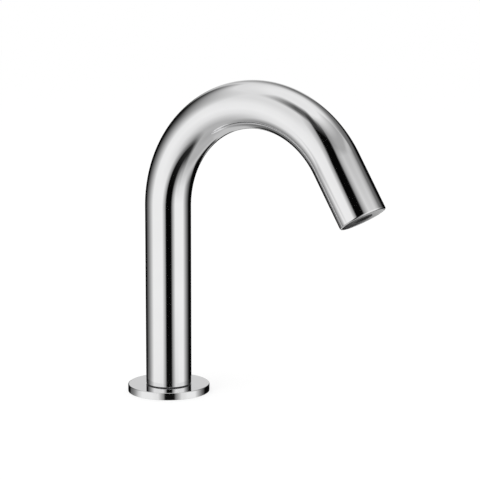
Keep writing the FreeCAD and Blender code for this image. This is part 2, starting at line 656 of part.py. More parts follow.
# ---------------------------------------------------------------- non-return valve
def make_valve():
    """Cartridge in the inlet: body, rubber ring, guide, poppet with its rubber face, and spring."""
    ring_depth = Sizes.valve_ring_section
    ring_half = Sizes.valve_ring_section * Sizes.groove_share
    body = turned("valve_cartridge", [
        (Sizes.valve_seat_diameter / 2, Sizes.valve_bottom), (valve_radius, Sizes.valve_bottom),
        (valve_radius, Sizes.valve_ring_level - ring_half),
        (valve_radius - ring_depth, Sizes.valve_ring_level - ring_half),
        (valve_radius - ring_depth, Sizes.valve_ring_level + ring_half),
        (valve_radius, Sizes.valve_ring_level + ring_half), (valve_radius, valve_top),
        (valve_bore, valve_top), (valve_bore, seat_level), (Sizes.valve_seat_diameter / 2, seat_level)])
    soften(body, "seat_bevel", body.Tip, circle_edges(body.Tip, valve_radius, Sizes.valve_bottom),
           Sizes.valve_wall / 2, "Chamfer")
    round_ring("cartridge_ring", valve_radius + Sizes.seat_gap / 2, Sizes.valve_ring_section,
               Sizes.valve_ring_level)

    guide_bore = Sizes.poppet_stem_diameter / 2 + Sizes.running_gap
    body = washer("stem_guide", guide_bore, valve_bore - Sizes.seat_gap, guide_bottom, guide_top)
    hole = round_hole(body, "water_hole", Sizes.guide_window_pitch, 0,
                      Sizes.guide_window_diameter / 2, guide_top, Sizes.guide_thickness)
    ring_pattern(body, "water_holes", [hole], Sizes.guide_window_count)

    stub = Sizes.poppet_stub_diameter / 2
    head = Sizes.poppet_diameter / 2
    stem = Sizes.poppet_stem_diameter / 2
    seal_top = seat_level + Sizes.poppet_seal_thickness
    stem_top = guide_top + Sizes.poppet_stem_reach
    turned("valve_poppet", [
        (size(0), seat_level - Sizes.poppet_stub_length), (stub, seat_level - Sizes.poppet_stub_length),
        (stub, seal_top), (head, seal_top), (head, spring_bottom), (stem, spring_bottom),
        (stem, stem_top), (size(0), stem_top)])
    washer("poppet_seal", stub + Sizes.seat_gap / 2, head, seat_level, seal_top)

    body = new_body("poppet_spring")
    wire = Sizes.spring_wire / 2
    section = new_sketch(body, "wire", "XZ_Plane")
    add_circle(section, Sizes.spring_diameter / 2, spring_bottom + wire, wire)
    doc.recompute()
    coil = feature(body, "AdditiveHelix", "coil", section)
    coil.ReferenceAxis = (section, ["V_Axis"])
    coil.Mode = "height-turns-angle"
    bind(coil, "Height", guide_bottom - spring_bottom - wire * 2 - Sizes.seat_gap)
    bind(coil, "Turns", Sizes.spring_turns)
    doc.recompute()


# ---------------------------------------------------------------- spout
def make_spout_tube():
    """Chromed tube: column, bend and outlet, with the holes of its two screws."""
    body = bent_tube("spout_tube", tube_outer, tube_inner, size(0), size(0), tube_foot,
                     Sizes.outlet_length)
    soften(body, "foot_round", body.Tip, circle_edges(body.Tip, tube_outer, tube_foot), Sizes.foot_round)
    soften(body, "mouth_round", body.Tip, circle_edges(body.Tip, tube_outer, outlet_z), Sizes.mouth_round)

    stop = new_sketch(body, "stop_circle", "YZ_Plane")
    add_circle(stop, 0, Sizes.stop_level, Sizes.stop_screw_diameter / 2 + Sizes.seat_gap / 2)
    pocket(body, "stop_hole", stop, tube_outer + OVERSHOOT)
    lock = new_sketch(body, "lock_circle", "XZ_Plane")
    add_circle(lock, outlet_x - Sizes.lock_screw_level * sine(Sizes.bend_sweep),
               outlet_z - Sizes.lock_screw_level * cosine(Sizes.bend_sweep),
               Sizes.lock_screw_diameter / 2 + Sizes.seat_gap / 2)
    pocket(body, "lock_hole", lock, tube_outer + OVERSHOOT)


def make_stop_screw():
    """Grub screw with a dog point that runs in the spigot's slot."""
    body = new_body("stop_screw")
    head = tube_outer - Sizes.stop_screw_inset
    thread = new_sketch(body, "thread_circle", "YZ_Plane", -stop_shoulder)
    add_circle(thread, 0, Sizes.stop_level, Sizes.stop_screw_diameter / 2)
    pad(body, "thread", thread, head - stop_shoulder, reverse=True)
    dog = new_sketch(body, "dog_circle", "YZ_Plane", -stop_shoulder)
    add_circle(dog, 0, Sizes.stop_level, Sizes.stop_dog_diameter / 2)
    pad(body, "dog", dog, Sizes.stop_dog_length)
    hexagon = new_sketch(body, "socket_outline", "YZ_Plane", -head)
    add_hexagon(hexagon, 0, Sizes.stop_level, Sizes.stop_hex_flats)
    pocket(body, "socket", hexagon, Sizes.stop_hex_depth, reverse=True)


def make_lock_screw():
    """Grub screw through the tube's far side into the outlet insert."""
    body = new_body("insert_lock_screw", outlet=True)
    head = tube_outer - Sizes.stop_screw_inset
    thread = new_sketch(body, "thread_circle", "XZ_Plane", -head)
    add_circle(thread, 0, -Sizes.lock_screw_level, Sizes.lock_screw_diameter / 2)
    pad(body, "thread", thread, Sizes.lock_screw_length)
    hexagon = new_sketch(body, "socket_outline", "XZ_Plane", -head)
    add_hexagon(hexagon, 0, -Sizes.lock_screw_level, Sizes.lock_hex_flats)
    pocket(body, "socket", hexagon, Sizes.lock_hex_depth, reverse=True)


def tail_outline(base, direction):
    """Corners of a hose tail with three barbs, from its collar to its tip, outside then inside."""
    barb = Sizes.nipple_tail_length / 4
    neck = tail_radius - Sizes.nipple_barb_depth
    corners = [(neck, base + barb / 2 * direction)]
    for step in range(3):
        level = base + barb / 2 * direction + barb * (step * direction)
        corners += [(tail_radius, level), (neck, level + barb * direction)]
    tip = base + Sizes.nipple_tail_length * direction
    return corners + [(neck, tip), (Sizes.nipple_bore / 2, tip)]


def make_hose():
    """Hose with a turning nipple below, a screwed nipple above, rubber rings and ferrules."""
    pivot = socket_radius - Sizes.running_gap
    groove = pivot - Sizes.nipple_ring_section
    ring_level = socket_floor + Sizes.socket_depth / 2
    half = Sizes.nipple_ring_section * Sizes.groove_share
    neck = tail_radius - Sizes.nipple_barb_depth
    turned("lower_nipple", [
        (Sizes.nipple_bore / 2, socket_floor + Sizes.slip_gap), (pivot, socket_floor + Sizes.slip_gap),
        (pivot, ring_level - half), (groove, ring_level - half), (groove, ring_level + half),
        (pivot, ring_level + half), (pivot, collar_bottom), (collar_radius, collar_bottom),
        (collar_radius, collar_top), (neck, collar_top)] + tail_outline(collar_top, 1))
    round_ring("lower_nipple_ring", pivot, Sizes.nipple_ring_section - Sizes.seat_gap, ring_level)

    thread = socket_radius - Sizes.seat_gap
    front = insert_back - Sizes.outlet_thread_depth
    ring_middle = insert_back - Sizes.nipple_ring_section
    turned("upper_nipple", [
        (Sizes.nipple_bore / 2, -front), (thread, -front), (thread, half - ring_middle),
        (groove, half - ring_middle), (groove, -ring_middle - half), (thread, -ring_middle - half),
        (thread, -insert_back), (collar_radius, -insert_back), (collar_radius, -upper_collar_back),
        (neck, -upper_collar_back)] + tail_outline(-upper_collar_back, -1), outlet=True)
    round_ring("upper_nipple_ring", thread, Sizes.nipple_ring_section - Sizes.seat_gap, -ring_middle,
               outlet=True)

    bent_tube("water_hose", hose_radius, hose_bore_radius, size(0), size(0), hose_bottom,
              Sizes.outlet_length - hose_end)
    sleeve = hose_radius + Sizes.seat_gap
    washer("lower_ferrule", sleeve, sleeve + Sizes.ferrule_wall, hose_bottom,
           hose_bottom + Sizes.ferrule_length)
    washer("upper_ferrule", sleeve, sleeve + Sizes.ferrule_wall, -hose_end - Sizes.ferrule_length,
           -hose_end, outlet=True)


def make_insert():
    """Chromed block in the outlet: aerator bore, water chamber, nipple thread and sensor pocket."""
    ring_depth = Sizes.insert_ring_section
    ring_half = Sizes.insert_ring_section * Sizes.groove_share
    body = turned("outlet_insert", [
        (size(0), -insert_back), (insert_radius, -insert_back),
        (insert_radius, -Sizes.insert_ring_level - ring_half),
        (insert_radius - ring_depth, -Sizes.insert_ring_level - ring_half),
        (insert_radius - ring_depth, ring_half - Sizes.insert_ring_level),
        (insert_radius, ring_half - Sizes.insert_ring_level),
        (insert_radius, -Sizes.insert_recess), (size(0), -Sizes.insert_recess)], outlet=True)
    away = -Sizes.aerator_offset
    round_hole(body, "aerator_bore", away, 0, aerator_radius + Sizes.seat_gap, -Sizes.insert_recess,
               washer_back - Sizes.insert_recess)
    round_hole(body, "water_chamber", away, 0, chamber_radius, -washer_back, Sizes.chamber_depth)
    round_hole(body, "nipple_thread", 0, 0, socket_radius, -chamber_back, insert_back - chamber_back)

    window = new_sketch(body, "window_outline", "XY_Plane", -window_front)
    add_segment(window, window_radius + Sizes.seat_gap, window_edge - Sizes.seat_gap)
    pocket(body, "window_pocket", window, Sizes.window_thickness + Sizes.seat_gap)
    sensor = new_sketch(body, "sensor_outline", "XY_Plane", -window_back)
    add_outline(sensor, box_corners(Sizes.sensor_width / 2 + Sizes.seat_gap,
                                    Sizes.sensor_breadth / 2 + Sizes.seat_gap))
    pocket(body, "sensor_pocket", sensor, Sizes.sensor_length + Sizes.slip_gap)
    round_hole(body, "lead_hole", sensor_offset, 0, lead_radius + Sizes.seat_gap * 2,
               -sensor_back_level, insert_back - sensor_back_level)
    lock = new_sketch(body, "lock_circle", "XZ_Plane", -tube_outer)
    add_circle(lock, 0, -Sizes.lock_screw_level, Sizes.lock_screw_diameter / 2 + Sizes.seat_gap / 2)
    pocket(body, "lock_hole", lock, Sizes.lock_screw_length + Sizes.slip_gap, reverse=True)
    round_ring("insert_ring", insert_radius, Sizes.insert_ring_section - Sizes.seat_gap * 2,
               -Sizes.insert_ring_level, outlet=True)


def box_corners(half_x, half_y):
    """A rectangle round the sensor's middle."""
    middle = sensor_offset
    return [(middle - half_x, -half_y), (middle + half_x, -half_y),
            (middle + half_x, half_y), (middle - half_x, half_y)]


# ---------------------------------------------------------------- aerator
def beside(body):
    """Moves a piece that was drawn about the outlet's middle to the aerator's middle."""
    body.setExpression("Placement", "create(<<placement>>; create(<<vector>>; %s; 0; %s); "
                       "create(<<rotation>>; create(<<vector>>; 0; 1; 0); %s))"
                       % ((outlet_x - Sizes.aerator_offset * cosine(Sizes.bend_sweep)).text,
                          (outlet_z + Sizes.aerator_offset * sine(Sizes.bend_sweep)).text,
                          Sizes.bend_sweep.text))
    doc.recompute()


def make_aerator():
    """Housing with its mouth, jet former, strainer screen and washer."""
    lip_back = Sizes.aerator_lip_height
    body = turned("aerator_housing", [
        (aerator_bore, -Sizes.aerator_length), (aerator_radius, -Sizes.aerator_length),
        (aerator_radius, size(0)), (aerator_mouth, size(0)), (aerator_mouth, -lip_back),
        (aerator_bore, -lip_back)], outlet=True)
    soften(body, "mouth_round", body.Tip, circle_edges(body.Tip, aerator_mouth, 0),
           Sizes.aerator_lip / 2)
    beside(body)

    core_radius = aerator_bore - Sizes.seat_gap
    core_front = -lip_back - Sizes.seat_gap
    core_back = core_front - Sizes.aerator_core_length
    body = turned("jet_former", [(size(0), core_back), (core_radius, core_back),
                                 (core_radius, core_front), (size(0), core_front)], outlet=True)
    round_hole(body, "middle_hole", 0, 0, Sizes.aerator_hole_diameter / 2, core_front,
               Sizes.aerator_core_length)
    pierce(body, core_front, Sizes.aerator_core_length, Sizes.aerator_hole_diameter / 2)
    beside(body)

    screen_front = core_back - Sizes.seat_gap
    screen_back = screen_front - Sizes.aerator_screen_thickness
    body = turned("strainer_screen", [(size(0), screen_back), (core_radius, screen_back),
                                      (core_radius, screen_front), (size(0), screen_front)], outlet=True)
    pierce(body, screen_front, Sizes.aerator_screen_thickness, Sizes.screen_hole_diameter / 2)
    beside(body)

    body = washer("aerator_washer", aerator_radius - Sizes.aerator_washer_width, aerator_radius,
                  Sizes.seat_gap - washer_back, -Sizes.aerator_length, outlet=True)
    beside(body)


def pierce(body, front, thickness, radius):
    """Two rings of holes, the outer one with twice as many."""
    for ring in (1, 2):
        hole = round_hole(body, "hole_%d" % ring, Sizes.aerator_hole_pitch * ring, 0, radius, front,
                          thickness)
        ring_pattern(body, "holes_%d" % ring, [hole], Sizes.aerator_hole_count * ring)


# ---------------------------------------------------------------- sensor
def make_sensor():
    """Window, housing, two diodes, circuit board and rear cap, beside the aerator."""
    body = new_body("sensor_window", outlet=True)
    outline = new_sketch(body, "outline", "XY_Plane", -window_back)
    add_segment(outline, window_radius, window_edge)
    pad(body, "plate", outline, Sizes.window_thickness)

    half_x = Sizes.sensor_width / 2
    half_y = Sizes.sensor_breadth / 2
    inner_x = half_x - Sizes.sensor_wall
    inner_y = half_y - Sizes.sensor_wall
    body = new_body("sensor_housing", outlet=True)
    outline = new_sketch(body, "outline", "XY_Plane", -sensor_back_level)
    add_outline(outline, box_corners(half_x, half_y))
    pad(body, "block", outline, Sizes.sensor_length)
    cavity = new_sketch(body, "cavity_outline", "XY_Plane", -sensor_front_level - Sizes.sensor_front)
    add_outline(cavity, box_corners(inner_x, inner_y))
    pocket(body, "cavity", cavity, Sizes.sensor_length - Sizes.sensor_front)
    eyes = new_sketch(body, "eye_circles", "XY_Plane", -sensor_front_level)
    for side in (-1, 1):
        add_circle(eyes, sensor_offset, Sizes.diode_spacing / 2 * side,
                   Sizes.diode_diameter / 2 + Sizes.seat_gap)
    pocket(body, "eyes", eyes, Sizes.sensor_front)

    diode_front = -sensor_front_level - Sizes.seat_gap
    for label, side in (("infrared_emitter", -1), ("infrared_receiver", 1)):
        make_diode(label, side, diode_front)

    body = new_body("sensor_board", outlet=True)
    outline = new_sketch(body, "outline", "XY_Plane", -Sizes.board_level - Sizes.board_thickness)
    add_outline(outline, box_corners(inner_x - Sizes.seat_gap, inner_y - Sizes.seat_gap))
    pad(body, "plate", outline, Sizes.board_thickness)

    body = new_body("sensor_cap", outlet=True)
    outline = new_sketch(body, "outline", "XY_Plane", -sensor_back_level)
    add_outline(outline, box_corners(inner_x - Sizes.seat_gap, inner_y - Sizes.seat_gap))
    pad(body, "plate", outline, Sizes.cap_thickness)
    round_hole(body, "lead_hole", sensor_offset, 0, lead_radius + Sizes.seat_gap / 2,
               Sizes.cap_thickness - sensor_back_level, Sizes.cap_thickness)


def make_diode(label, side, front):
    """A small round diode with a domed front, soldered to the board."""
    body = new_body(label, outlet=True)
    circle = new_sketch(body, "circle", "XY_Plane", -Sizes.board_level + Sizes.seat_gap / 2)
    add_circle(circle, sensor_offset, Sizes.diode_spacing / 2 * side, Sizes.diode_diameter / 2)
    pad(body, "barrel", circle, front + Sizes.board_level - Sizes.seat_gap / 2)
    soften(body, "dome", body.Tip, circle_edges(body.Tip, Sizes.diode_diameter / 2, front),
           Sizes.diode_diameter * Sizes.diode_dome_share)


def make_lead():
    """Sensor lead from the board down to its plug in the base's window, with two clips."""
    board_back = Sizes.board_level + Sizes.board_thickness
    plug_top = Sizes.plug_level + Sizes.plug_length
    bent_tube("sensor_lead", lead_radius, None, lead_offset, sensor_offset, plug_top,
              Sizes.outlet_length - board_back - Sizes.seat_gap / 2)

    body = new_body("lead_plug")
    circle = new_sketch(body, "circle", "XY_Plane", Sizes.plug_level)
    add_circle(circle, lead_offset, 0, plug_radius)
    pad(body, "barrel", circle, Sizes.plug_length)
    pins = new_sketch(body, "contact_circles", "XY_Plane", Sizes.plug_level)
    for side in (-1, 1):
        add_circle(pins, lead_offset, Sizes.plug_pin_spacing / 2 * side,
                   Sizes.plug_pin_diameter / 2)
    pocket(body, "contacts", pins, Sizes.plug_length / 2, reverse=True)

    for label, level in (("lower_lead_clip", Sizes.lower_clip_level),
                         ("upper_lead_clip", Sizes.upper_clip_level)):
        make_clip(label, level)


def make_clip(label, level):
    """A plastic clip with one eye round the hose and one round the lead."""
    body = new_body(label)
    hose_eye = hose_radius + Sizes.seat_gap
    lead_eye = lead_radius + Sizes.seat_gap / 2
    eyes = ((size(0), hose_eye), (lead_offset, lead_eye))
    for number, (middle, radius) in enumerate(eyes, start=1):
        ring = new_sketch(body, "ring_%d" % number, "XY_Plane", level)
        add_circle(ring, middle, 0, radius + Sizes.clip_wall)
        pad(body, "eye_%d" % number, ring, Sizes.clip_thickness)
    bridge = new_sketch(body, "bridge_outline", "XY_Plane", level)
    add_outline(bridge, [(hose_eye, -Sizes.clip_wall), (lead_offset, -Sizes.clip_wall),
                         (lead_offset, Sizes.clip_wall), (hose_eye, Sizes.clip_wall)])
    pad(body, "bridge", bridge, Sizes.clip_thickness)
    top = level + Sizes.clip_thickness
    for number, (middle, radius) in enumerate(eyes, start=1):
        round_hole(body, "hole_%d" % number, middle, 0, radius, top, Sizes.clip_thickness)


# ---------------------------------------------------------------- build, check and write
make_base_body()
make_cover_flange()
make_base_rings()
make_union_nut()
make_valve()
make_spout_tube()
make_stop_screw()
make_hose()
make_insert()
make_lock_screw()
make_aerator()
make_sensor()
make_lead()
doc.recompute()

faults = []
for item in doc.Objects:
    if "Invalid" in item.State or "Error" in item.State:
        faults.append("%s: %s" % (item.Label, item.State))
for node in nodes:
    if node.Shape.isNull() or not node.Shape.isValid() or len(node.Shape.Solids) != 1:
        faults.append("%s: its shape is not one valid solid" % node.Label)
if faults:
    raise RuntimeError("\n".join(faults))

os.makedirs("parts", exist_ok=True)
for node in nodes:
    node.Shape.exportStep("parts/%s.step" % node.Label)
print("%d sub-parts written" % len(nodes))
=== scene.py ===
"""Sensor tap: a bent chromed tube that swivels on a round base, with a sensor beside its aerator.

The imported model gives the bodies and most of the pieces. This script gives every piece its finish,
makes the tube and the flange as finer meshes, and sets up the camera and the studio.
"""

import logging
import math
from dataclasses import dataclass
from enum import Enum

import bmesh
import bpy
from mathutils import Color, Matrix, Vector


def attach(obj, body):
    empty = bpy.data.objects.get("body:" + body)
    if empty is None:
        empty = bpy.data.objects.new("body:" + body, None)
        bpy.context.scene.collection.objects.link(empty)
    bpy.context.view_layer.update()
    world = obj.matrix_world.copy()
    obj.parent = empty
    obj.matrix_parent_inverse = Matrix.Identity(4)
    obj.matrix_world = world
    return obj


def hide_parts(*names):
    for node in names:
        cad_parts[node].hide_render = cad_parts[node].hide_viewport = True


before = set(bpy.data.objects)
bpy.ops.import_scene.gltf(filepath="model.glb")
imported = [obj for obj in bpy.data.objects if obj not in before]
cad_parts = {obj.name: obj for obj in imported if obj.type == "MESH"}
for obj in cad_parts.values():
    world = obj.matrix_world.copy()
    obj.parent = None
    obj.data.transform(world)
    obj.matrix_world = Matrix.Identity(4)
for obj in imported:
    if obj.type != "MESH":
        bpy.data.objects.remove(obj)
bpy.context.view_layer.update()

LOG = logging.getLogger("sensor_tap")
MM = 0.001
PHOTO_WIDTH = 480
FULL_TONE = 255
# The tap's side that faces the camera, in degrees. The studio's directions count from there.
FRONT_AZIMUTH = -55.8
# A noise pattern stays mostly between these two values.
NOISE_LOW, NOISE_HIGH = 0.3, 0.7

Triple = tuple[float, float, float]
Face = tuple[int, int, int, int]
Socket = bpy.types.NodeSocket


# ---------------------------------------------------------------- names
class Body(Enum):
    """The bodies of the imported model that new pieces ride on."""

    BASE = "base"
    SPOUT = "spout"


class Slot(Enum):
    """The record's material slots."""

    CHROME = "chrome"
    BRASS = "brass"
    STEEL = "steel"
    WINDOW = "window"
    BLACK_PLASTIC = "black_plastic"
    WHITE_PLASTIC = "white_plastic"
    RUBBER = "rubber"
    HOSE = "hose"
    BOARD = "board"
    DIODE = "diode"


# ---------------------------------------------------------------- shading
@dataclass(frozen=True)
class Grain:
    """A noise pattern: grains in a metre, octaves of finer grain, and its density on each axis."""

    per_metre: float
    detail: float = 2.0
    stretch: Triple = (1.0, 1.0, 1.0)


@dataclass(frozen=True)
class Relief:
    """How deep a pattern stands in a surface: its height in metres and the share of it."""

    height: float
    strength: float = 0.5


class ShaderBench:
    """A node tree under construction: adds nodes, links them and sets their values."""

    def __init__(self, owner: bpy.types.Material | bpy.types.World) -> None:
        """Empties the tree and adds its output.

        Args:
            owner: the material or the world to build.
        """
        owner.use_nodes = True
        self.tree = owner.node_tree
        self.tree.nodes.clear()
        kind = "World" if isinstance(owner, bpy.types.World) else "Material"
        self.output = self.tree.nodes.new("ShaderNodeOutput" + kind)

    def add(self, kind: str, **values: object) -> bpy.types.Node:
        """Adds a node.

        Args:
            kind: the node's type name.
            values: attributes of the node.

        Returns:
            The node.
        """
        node = self.tree.nodes.new(kind)
        for name, value in values.items():
            setattr(node, name, value)
        return node

    def link(self, source: Socket, target: Socket) -> None:
        """Links an output socket to an input socket."""
        self.tree.links.new(source, target)

    def end_with_mix(self, share: Socket, first: Socket, second: Socket) -> None:
        """Ends the tree with a mix of two shaders.

        Args:
            share: how much of the second one shows.
            first: the shader where the share is 0.
            second: the shader where the share is 1.
        """
        mix = self.add("ShaderNodeMixShader")
        self.link(share, mix.inputs["Fac"])
        self.link(first, mix.inputs[1])
        self.link(second, mix.inputs[2])
        self.link(mix.outputs["Shader"], self.output.inputs["Surface"])

    def pale_to_view(self, plain: Socket, pale: Socket, share: float = 1.0) -> None:
        """Ends the tree with two looks: a pale one to look at and a plain one that lights.

        Args:
            plain: the shader that lights matt surfaces and takes shadows.
            pale: the shader that the camera sees, directly or in metal and glass.
            share: how much of the pale one shows.
        """
        path = self.add("ShaderNodeLightPath")
        seen = path.outputs["Is Camera Ray"]
        for ray in ("Is Glossy Ray", "Is Transmission Ray"):
            either = self.add("ShaderNodeMath", operation="MAXIMUM")
            self.link(seen, either.inputs[0])
            self.link(path.outputs[ray], either.inputs[1])
            seen = either.outputs["Value"]
        part = self.add("ShaderNodeMath", operation="MULTIPLY")
        part.inputs[1].default_value = share
        self.link(seen, part.inputs[0])
        self.end_with_mix(part.outputs["Value"], plain, pale)

    def noise(self, grain: Grain) -> Socket:
        """Adds a noise pattern in the object's own space.

        Args:
            grain: the pattern.

        Returns:
            The pattern's value socket, 0 to 1.
        """
        place = self.add("ShaderNodeTexCoord")
        mapping = self.add("ShaderNodeMapping")
        mapping.inputs["Scale"].default_value = grain.stretch
        self.link(place.outputs["Object"], mapping.inputs["Vector"])
        noise = self.add("ShaderNodeTexNoise")
        noise.inputs["Scale"].default_value = grain.per_metre
        noise.inputs["Detail"].default_value = grain.detail
        self.link(mapping.outputs["Vector"], noise.inputs["Vector"])
        return noise.outputs["Fac"]

    def spread(self, value: Socket, low: float, high: float) -> Socket:
        """Maps a noise pattern to a range of numbers.

        Args:
            value: the pattern.
            low: result where the pattern is low.
            high: result where the pattern is high.

        Returns:
            The mapped value's socket.
        """
        ramp = self.add("ShaderNodeMapRange")
        ramp.inputs["From Min"].default_value = NOISE_LOW
        ramp.inputs["From Max"].default_value = NOISE_HIGH
        ramp.inputs["To Min"].default_value = low
        ramp.inputs["To Max"].default_value = high
        self.link(value, ramp.inputs["Value"])
        return ramp.outputs["Result"]

    def blend(self, value: Socket, first: Triple, second: Triple) -> Socket:
        """Mixes two colours by a noise pattern.

        Args:
            value: the pattern.
            first: colour where the pattern is low.
            second: colour where the pattern is high.

        Returns:
            The mixed colour's socket.
        """
        ramp = self.add("ShaderNodeValToRGB")
        stops = ((NOISE_LOW, first), (NOISE_HIGH, second))
        for element, (position, colour) in zip(ramp.color_ramp.elements, stops):
            element.position = position
            element.color = (*colour, 1.0)
        self.link(value, ramp.inputs["Fac"])
        return ramp.outputs["Color"]

    def bump(self, value: Socket, relief: Relief) -> Socket:
        """Turns a pattern into relief.

        Args:
            value: the pattern.
            relief: how deep it stands.

        Returns:
            The normal's socket.
        """
        node = self.add("ShaderNodeBump")
        node.inputs["Strength"].default_value = relief.strength
        node.inputs["Distance"].default_value = relief.height
        self.link(value, node.inputs["Height"])
        return node.outputs["Normal"]

    def surface(self, **values: object) -> None:
        """Adds the surface shader and links it to the output.

        Args:
            values: input names, spaces written as underscores, with numbers, colours or sockets.
        """
        shader = self.add("ShaderNodeBsdfPrincipled")
        for name, value in values.items():
            socket = shader.inputs[name.replace("_", " ")]
            if isinstance(value, Socket):
                self.link(value, socket)
            else:
                socket.default_value = value
        self.link(shader.outputs["BSDF"], self.output.inputs["Surface"])


@dataclass(frozen=True)
class Finish:
    """What every finish shares: it makes one material and builds its nodes."""

    def make(self, name: str) -> bpy.types.Material:
        """Makes the material.

        Args:
            name: the material's name.

        Returns:
            The material.
        """
        material = bpy.data.materials.new(name)
        self.build(ShaderBench(material))
        return material

    def build(self, bench: ShaderBench) -> None:
        """Builds the finish's nodes on an empty bench."""
        raise NotImplementedError


@dataclass(frozen=True)
class PolishedChrome(Finish):
    """Bright nickel and chrome plate with the faint unevenness of a polished tube."""

    colour: Triple = (0.90, 0.90, 0.905)
    hazed: Triple = (0.88, 0.88, 0.885)
    roughness: float = 0.05
    hazed_roughness: float = 0.078
    haze: Grain = Grain(60.0, 4.0)
    wave: Grain = Grain(35.0, 1.0)
    relief: Relief = Relief(0.00001)

    def build(self, bench: ShaderBench) -> None:
        """Builds the plate's nodes.

        Args:
            bench: the empty bench.
        """
        haze, wave = bench.noise(self.haze), bench.noise(self.wave)
        bench.surface(Metallic=1.0, Base_Color=bench.blend(haze, self.colour, self.hazed),
                      Roughness=bench.spread(haze, self.roughness, self.hazed_roughness),
                      Normal=bench.bump(wave, self.relief))


@dataclass(frozen=True)
class TurnedMetal(Finish):
    """Bare metal from a lathe: fine rings of tool marks and a little tarnish."""

    colour: Triple
    tarnish: Triple
    roughness: float = 0.28
    smoother: float = 0.06
    rougher: float = 0.08
    cloud: Grain = Grain(140.0, 4.0)
    marks: Grain = Grain(900.0, 2.0, (0.15, 0.15, 4.0))
    relief: Relief = Relief(0.00003, 0.6)

    def build(self, bench: ShaderBench) -> None:
        """Builds the metal's nodes.

        Args:
            bench: the empty bench.
        """
        cloud, marks = bench.noise(self.cloud), bench.noise(self.marks)
        low, high = self.roughness - self.smoother, self.roughness + self.rougher
        bench.surface(Metallic=1.0, Base_Color=bench.blend(cloud, self.colour, self.tarnish),
                      Roughness=bench.spread(marks, low, high),
                      Normal=bench.bump(marks, self.relief))


@dataclass(frozen=True)
class MouldedPlastic(Finish):
    """Moulded plastic or rubber with a fine texture and a slightly uneven gloss."""

    colour: Triple
    shade: Triple
    roughness: float = 0.42
    relief: Relief = Relief(0.00002)
    grain: Grain = Grain(1800.0)
    cloud: Grain = Grain(90.0, 3.0)
    smoother: float = 0.05
    rougher: float = 0.07

    def build(self, bench: ShaderBench) -> None:
        """Builds the plastic's nodes.

        Args:
            bench: the empty bench.
        """
        grain, cloud = bench.noise(self.grain), bench.noise(self.cloud)
        low, high = self.roughness - self.smoother, self.roughness + self.rougher
        bench.surface(Base_Color=bench.blend(cloud, self.colour, self.shade),
                      Roughness=bench.spread(cloud, low, high),
                      Normal=bench.bump(grain, self.relief))


@dataclass(frozen=True)
class SmokedWindow(Finish):
    """Polished black plastic that lets infrared light through."""

    colour: Triple = (0.012, 0.012, 0.014)
    shade: Triple = (0.018, 0.017, 0.021)
    roughness: float = 0.16
    hazed_roughness: float = 0.22
    gloss: float = 0.04
    cloud: Grain = Grain(250.0, 3.0)
    relief: Relief = Relief(0.000005, 0.3)

    def build(self, bench: ShaderBench) -> None:
        """Builds the window's nodes.

        Args:
            bench: the empty bench.
        """
        cloud = bench.noise(self.cloud)
        bench.surface(Base_Color=bench.blend(cloud, self.colour, self.shade),
                      Roughness=bench.spread(cloud, self.roughness, self.hazed_roughness),
                      Specular_IOR_Level=self.gloss, Normal=bench.bump(cloud, self.relief))


FINISHES: dict[Slot, Finish] = {
    Slot.CHROME: PolishedChrome(),
    Slot.BRASS: TurnedMetal((0.78, 0.62, 0.34), (0.66, 0.50, 0.26)),
    Slot.STEEL: TurnedMetal((0.62, 0.62, 0.61), (0.54, 0.54, 0.53), 0.30),
    Slot.WINDOW: SmokedWindow(),
    Slot.BLACK_PLASTIC: MouldedPlastic((0.030, 0.030, 0.032), (0.024, 0.024, 0.025)),
    Slot.WHITE_PLASTIC: MouldedPlastic((0.82, 0.82, 0.80), (0.78, 0.78, 0.75)),
    Slot.RUBBER: MouldedPlastic((0.030, 0.030, 0.030), (0.040, 0.040, 0.039), 0.68,
                                Relief(0.00003), Grain(1200.0)),
    Slot.HOSE: MouldedPlastic((0.72, 0.74, 0.76), (0.68, 0.70, 0.72), 0.36, Relief(0.00001)),
    Slot.BOARD: MouldedPlastic((0.05, 0.22, 0.10), (0.04, 0.18, 0.08), 0.25, Relief(0.00001)),
    Slot.DIODE: MouldedPlastic((0.12, 0.10, 0.16), (0.10, 0.08, 0.13), 0.12,
                               Relief(0.000004), Grain(500.0)),
}


class Wardrobe:
    """The finished materials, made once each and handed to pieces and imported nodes."""

    def __init__(self) -> None:
        """Makes every slot's material."""
        self.materials = {slot: finish.make(slot.value) for slot, finish in FINISHES.items()}

    def dress_nodes(self) -> None:
        """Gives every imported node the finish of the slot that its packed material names."""
        for name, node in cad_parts.items():
            for holder in node.material_slots:
                packed = holder.material.name.split(".")[0]
                holder.material = self.materials[Slot(packed)]
            LOG.info("dressed %s", name)

    def dress(self, piece: bpy.types.Object, slot: Slot) -> None:
        """Gives a new piece its finish and names its slot.

        Args:
            piece: the piece.
            slot: the record's slot.
        """
        piece.data.materials.clear()
        piece.data.materials.append(self.materials[slot])


# ---------------------------------------------------------------- mesh making
def put_in_scene(name: str, data: bpy.types.ID) -> bpy.types.Object:
    """Makes an object that shows some data.

    Args:
        name: the object's name.
        data: its mesh, lamp or camera.

    Returns:
        The object, linked to the scene.
    """
    thing = bpy.data.objects.new(name, data)
    bpy.context.scene.collection.objects.link(thing)
    return thing


def make_piece(name: str, vertices: list[Vector], faces: list[Face],
               corner_normals: list[Vector] | None = None) -> bpy.types.Object:
    """Makes a smooth-shaded piece.

    Args:
        name: the piece's name.
        vertices: points, in metres.
        faces: corner numbers of each face.
        corner_normals: the surface's own normal at each face's corners, if it is known.

    Returns:
        The piece, linked to the scene.
    """
    mesh = bpy.data.meshes.new(name)
    mesh.from_pydata([tuple(vertex) for vertex in vertices], [], faces)
    mesh.validate()
    mesh.shade_smooth()
    if corner_normals is not None:
        mesh.normals_split_custom_set([tuple(normal) for normal in corner_normals])
    return put_in_scene(name, mesh)


